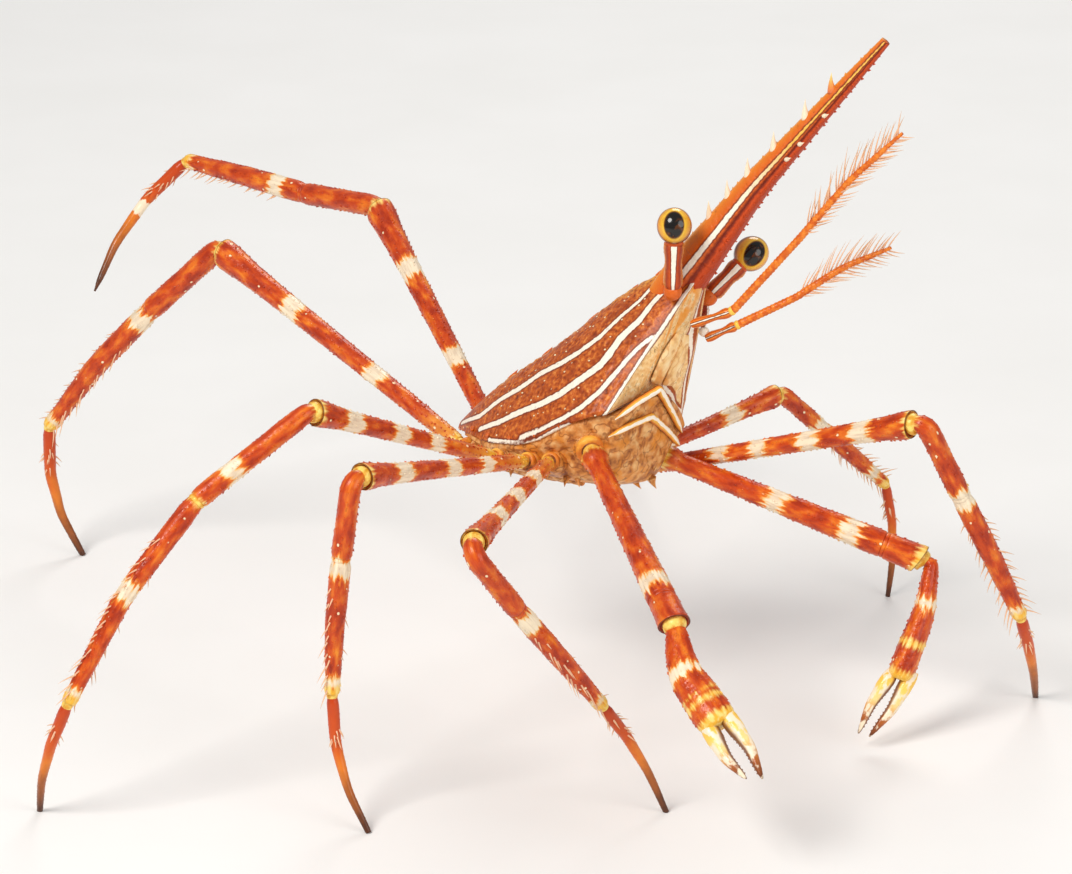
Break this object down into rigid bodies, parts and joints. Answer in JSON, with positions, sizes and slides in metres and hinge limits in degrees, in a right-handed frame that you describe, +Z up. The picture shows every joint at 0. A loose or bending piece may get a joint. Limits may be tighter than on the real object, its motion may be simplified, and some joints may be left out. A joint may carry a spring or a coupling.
{
  "type": "yellowline arrow crab",
  "caption": "Still life-size spider crab with a long spined snout, striped triangular shell, plumed antennae, slender banded legs and thin claws.",
  "frame": {"origin": "on the floor, under the middle of the bounding box", "axes": "+Z up; +Y is the longest side, away from the viewer of the picture; +X to that viewer's right, the side the head faces"},
  "size_m": [0.1024, 0.1112, 0.0692],
  "materials": {
    "carapace": "glossy orange-brown shell with cream-white stripes",
    "limb": "glossy orange-red shell with cream bands and yellow joints",
    "belly": "satin brown-orange shell of the underside",
    "mouth": "satin beige mouth plates",
    "eye": "wet gold eye with a dark pupil",
    "claw": "satin yellow finger with a brown tip",
    "tip": "satin orange to brown leg tip"
  },
  "bodies": {
    "root": {"carapace": "carapace", "rostrum": "carapace", "thorax": "belly", "abdomen": "belly", "maxilliped_left": "mouth", "eye_stalk_left": "carapace", "eye_left": "eye", "antenna_base_left": "limb", "antenna_left": "limb", "cheliped_left_arm": "limb", "cheliped_left_wrist": "limb", "cheliped_left_palm": "limb", "cheliped_left_finger": "claw", "leg2_left_merus": "limb", "leg2_left_carpus": "limb", "leg2_left_propodus": "limb", "leg2_left_dactyl": "tip", "leg3_left_merus": "limb", "leg3_left_carpus": "limb", "leg3_left_propodus": "limb", "leg3_left_dactyl": "tip", "leg4_left_merus": "limb", "leg4_left_carpus": "limb", "leg4_left_propodus": "limb", "leg4_left_dactyl": "tip", "leg5_left_merus": "limb", "leg5_left_carpus": "limb", "leg5_left_propodus": "limb", "leg5_left_dactyl": "tip", "maxilliped_right": "mouth", "eye_stalk_right": "carapace", "eye_right": "eye", "antenna_base_right": "limb", "antenna_right": "limb", "cheliped_right_arm": "limb", "cheliped_right_wrist": "limb", "cheliped_right_palm": "limb", "cheliped_right_finger": "claw", "leg2_right_merus": "limb", "leg2_right_carpus": "limb", "leg2_right_propodus": "limb", "leg2_right_dactyl": "tip", "leg3_right_merus": "limb", "leg3_right_carpus": "limb", "leg3_right_propodus": "limb", "leg3_right_dactyl": "tip", "leg4_right_merus": "limb", "leg4_right_carpus": "limb", "leg4_right_propodus": "limb", "leg4_right_dactyl": "tip", "leg5_right_merus": "limb", "leg5_right_carpus": "limb", "leg5_right_propodus": "limb", "leg5_right_dactyl": "tip"}
  },
  "joints": []
}
